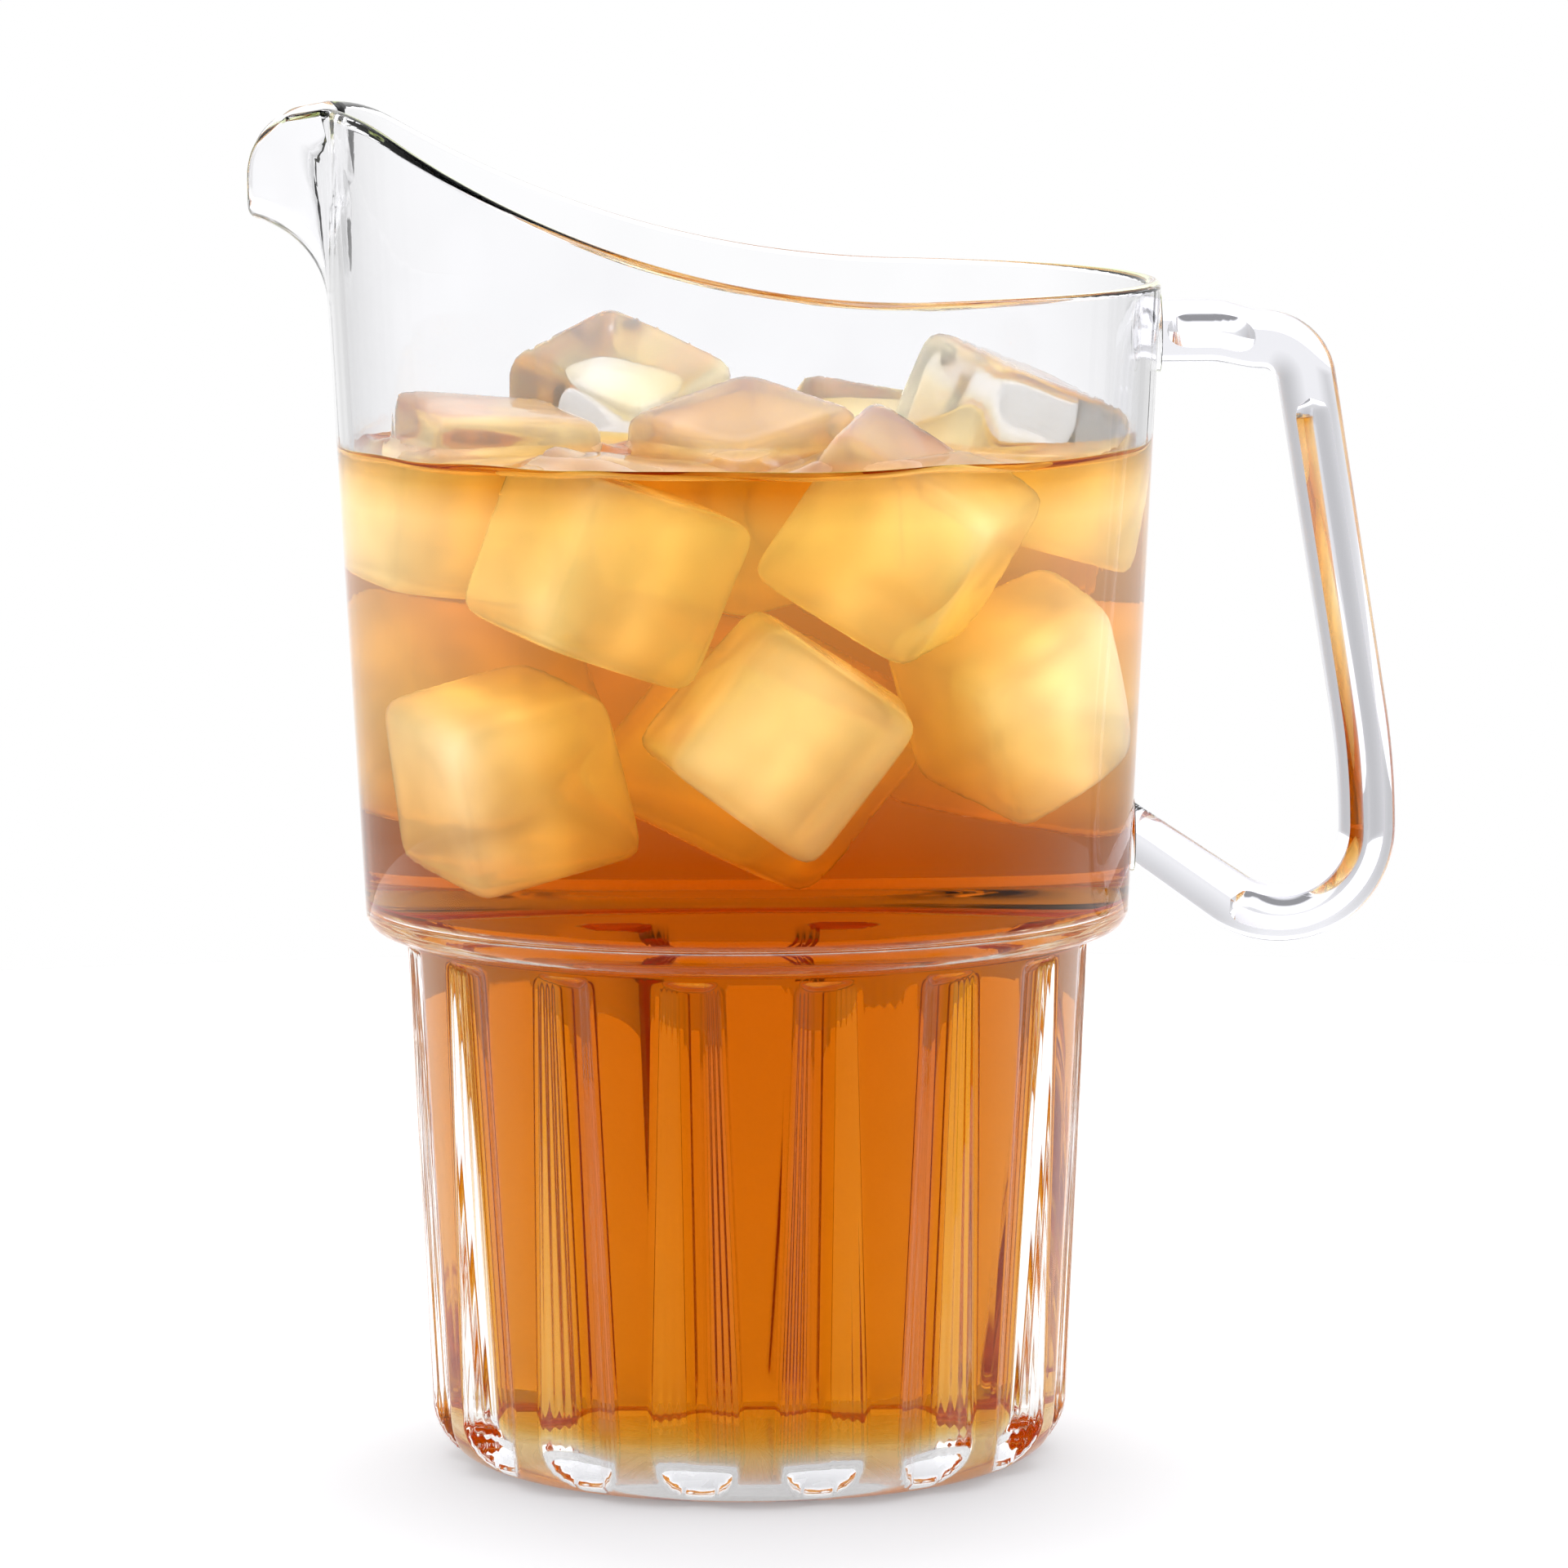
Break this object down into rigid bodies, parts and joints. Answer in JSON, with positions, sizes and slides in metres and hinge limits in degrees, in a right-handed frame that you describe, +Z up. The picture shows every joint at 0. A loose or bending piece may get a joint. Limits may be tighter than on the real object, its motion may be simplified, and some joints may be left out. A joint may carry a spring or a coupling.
{
  "type": "pitcher",
  "caption": "Clear moulded pitcher with a wide drum on a narrower fluted foot, a raised pouring lip and a bar handle, holding an iced amber drink",
  "frame": {"origin": "Centre of the base, on the surface that the pitcher stands on.", "axes": "+Z is up, along the axis of the drum. -X points to the lip and +X to the handle. Y runs across."},
  "size_m": [0.1864, 0.1352, 0.2218],
  "materials": {
    "clear_body": "clear polished plastic",
    "clear_handle": "clear polished plastic",
    "drink": "clear amber liquid",
    "ice": "wet ice with a cloudy core"
  },
  "bodies": {
    "pitcher": {"body": "clear_body", "handle": "clear_handle"},
    "contents": {"drink": "drink", "ice_cube_1": "ice", "ice_cube_2": "ice", "ice_cube_3": "ice", "ice_cube_4": "ice", "ice_cube_5": "ice", "ice_cube_6": "ice", "ice_cube_7": "ice", "ice_cube_8": "ice", "ice_cube_9": "ice", "ice_cube_10": "ice", "ice_cube_11": "ice", "ice_cube_12": "ice", "ice_cube_13": "ice", "ice_cube_14": "ice"}
  },
  "joints": [
    {"name": "contents_lift", "type": "slide", "parent": "pitcher", "child": "contents", "axis": [0, 0, 1], "range_m": [0, 0.23]}
  ]
}
